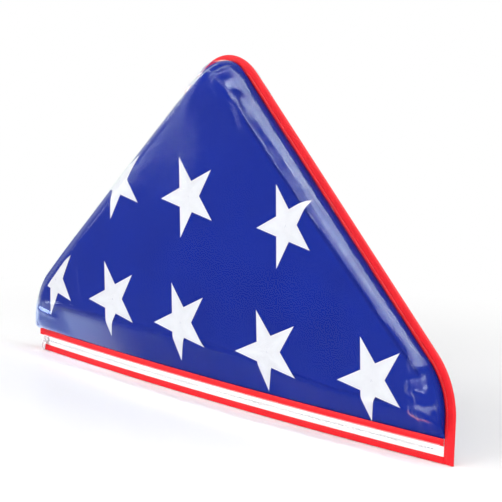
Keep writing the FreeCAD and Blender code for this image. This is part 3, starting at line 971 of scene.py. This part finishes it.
def lay_zipper_tape(name, node, edge_height, far):
    """A woven tape from its corded edge to the edge that is sewn behind the hem."""
    way = math.copysign(1, far - edge_height)
    tall = abs(far - edge_height) / mm
    profile = cord_section + [(0.5 * tall, 0.1), (0.8 * tall, 0.12), (tall, 0.15)]
    run_x = np.linspace(-hem_reach - 3 * mm, hem_reach, 501)
    rows = [on_bow(run_x, tape_radius - behind * mm, edge_height + way * up * mm, -1) for up, behind in profile]
    lay_tape(name, node, white_tape, "white_tape", run_x, rows, profile, held="stretched")


upper_low, upper_high = (corner.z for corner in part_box("upper_zipper_tape"))
lower_low, lower_high = (corner.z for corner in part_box("lower_zipper_tape"))
lay_zipper_tape("upper_tape", "upper_zipper_tape", upper_low - cord_gap, upper_high)
lay_zipper_tape("lower_tape", "lower_zipper_tape", lower_high + cord_gap, lower_low)

# %% [markdown]
# Behind the chain stands a guard, a strip of the same white weave that keeps the flag out of the elements.
# It stands on the base sheet and leans a hair from side to side, as a strip held only at its foot does.

# %% Zipper guard
guard_gap, guard_sway = 2.65 * mm, 0.2 * mm
guard_low, guard_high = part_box("zipper_guard")
guard_tall, guard_long = guard_high.z - guard_low.z, guard_high.x - guard_low.x
guard_x = np.linspace(guard_low.x, guard_high.x, 241)
guard_lean = rumple(xyz(guard_x * 30.0, 4.0, 0.0))
guard_rows, guard_places = [], []
for share in np.linspace(0, 1, 9):
    height = guard_low.z + 0.1 * mm + share * (guard_tall - 0.2 * mm)
    guard_rows.append(on_bow(guard_x, tape_radius - guard_gap + guard_sway * share * guard_lean, height, -1))
    guard_places.append(np.stack([guard_x, np.full_like(guard_x, height)], 1))
guard = sheet_from_rows("guard_tape", guard_rows, cloth=guard_places)
dress(guard, white_tape, "zipper_guard")
print("guard:", round(guard_tall / mm, 1), "mm tall")

# %% [markdown]
# ## The rigid parts of the zipper
# The elements, the stops, the slider and its pull keep their solids, whose drawn shapes are right. They get
# a small bevel that catches the light and the finish of what they are made of.

# %% Rigid parts
rigid_parts = {"upper_element_row": nylon, "lower_element_row": nylon, "left_stop": nylon, "right_stop": nylon,
               "slider_body": nickel, "slider_bridge": nickel, "pull_tab": nickel}
for name, finish in rigid_parts.items():
    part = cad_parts[name]
    part.data.materials.clear()
    part.data.materials.append(finish)
    soften = part.modifiers.new("soft_edges", "BEVEL")
    soften.width, soften.segments, soften.limit_method = 0.15 * mm, 2, "ANGLE"
    print(name, "keeps its solid")

# %% [markdown]
# ## Floor, background and light
# The white floor runs into a white background, and the case throws a soft shadow and a faint reflection on
# it. The floor is a disc: near the case it is lit like any surface, and further out it fades to white.

# %% Floor
floor_radius, floor_drop = 6.0, 0.4 * mm
fade_start, fade_end = 0.28, 0.75
floor_rim = arc((0, 0), floor_radius, 0, 2 * math.pi, 96)
floor = new_piece("floor", np.pad(floor_rim, ((0, 0), (0, 1))), [range(96)])
floor.location.z = -floor_drop

floor_finish, paint, place = new_finish("pale_floor")
fade = paint.node("VectorMath", {"operation": "LENGTH"}, {0: place}, out=1).rise(fade_start, fade_end)
matte = paint.node("BsdfDiffuse", None, {"Color": (0.92, 0.92, 0.922, 1)})
polish = paint.node("BsdfGlossy", None, {"Color": (0.9, 0.9, 0.9, 1), "Roughness": 0.08})
lit = paint.node("MixShader", None, {0: 0.05, 1: matte, 2: polish})
glow = paint.node("Emission", None, {"Color": (1, 1, 1, 1), "Strength": 1.0})
paint.show(paint.node("MixShader", None, {0: fade * paint.looked_at(), 1: lit, 2: glow}))
floor.data.materials.append(floor_finish)
print("floor: white beyond", fade_end, "m")

# %% [markdown]
# The lights are soft boxes of two kinds. Five stand round the case and light the cloth at a plain level.
# Eight are seen only in the gloss: they draw the pale band along the right slope, the shine on the pleats
# and the glint at the crown. One set could do both jobs, but panels bright enough for clear vinyl would
# wash out the flag. The world is white where the camera or a mirror looks and a plain grey as a lamp.

# %% Light
world = bpy.data.worlds.new("white_room")
world.use_nodes = True
world.node_tree.nodes.clear()
scene.world = world
sky = Flow(world.node_tree)
backdrop = sky.node("Background", None, {"Color": (1, 1, 1, 1), "Strength": 0.5 + 0.5 * sky.looked_at()})
sky.node("OutputWorld", None, {"Surface": backdrop})

# Each box: its name, its place, the point it faces, its width and height, and its watts
cloth_boxes = [
    ("left_box", (-1.65, -1.2, 1.15), (0.0, 0.0, 0.15), 1.0, 1.0, 19.5),
    ("front_box", (0.2, -1.65, 1.05), (0.0, 0.0, 0.15), 1.0, 1.0, 11.5),
    ("camera_box", (1.6, -1.45, 0.75), (0.0, 0.0, 0.15), 0.7, 0.7, 9.0),
    ("right_box", (1.75, 0.4, 0.95), (0.25, 0.0, 0.1), 0.9, 0.9, 8.5),
    ("overhead_box", (0.5, 0.35, 1.5), (0.5, 0.34, 0.0), 0.85, 1.6, 7.0)]
gloss_boxes = [
    ("upper_gloss", (0.34, 0.2, 1.48), (0.34, 0.19, 0.0), 0.3, 1.25, 34.0),
    ("slope_gloss", (0.71, -0.05, 1.48), (0.71, -0.06, 0.0), 0.48, 1.9, 76.0),
    ("corner_gloss", (1.0, -1.25, 1.25), (0.25, 0.0, 0.1), 0.95, 1.5, 72.0),
    ("front_gloss", (0.5, -1.7, 1.3), (0.25, 0.0, 0.15), 0.7, 0.9, 24.0),
    ("camera_gloss", (1.9, -1.75, 0.55), (0.3, 0.0, 0.06), 0.9, 0.8, 38.0),
    ("pleat_gloss", (-0.5, -1.35, 1.2), (0.29, 0.0, 0.06), 1.1, 0.9, 68.0),
    ("left_gloss", (-1.9, -1.1, 0.25), (-0.1, 0.0, 0.22), 0.7, 0.48, 7.5),
    ("crown_gloss", (-2.2, -0.1, 0.85), (0.0, 0.0, 0.33), 0.25, 0.4, 8.0)]
for name, spot, aim, wide, tall, power in cloth_boxes + gloss_boxes:
    lamp = bpy.data.lights.new(name, "AREA")
    lamp.shape = "RECTANGLE"
    lamp.size, lamp.size_y = wide, tall
    lamp.energy = power
    box = bpy.data.objects.new(name, lamp)
    box.location = spot
    box.rotation_euler = (Vector(aim) - Vector(spot)).to_track_quat("-Z", "Y").to_euler()
    in_gloss = name.endswith("gloss")
    box.visible_camera, box.visible_diffuse, box.visible_glossy = False, not in_gloss, in_gloss
    scene.collection.objects.link(box)
    print(name, power, "W")
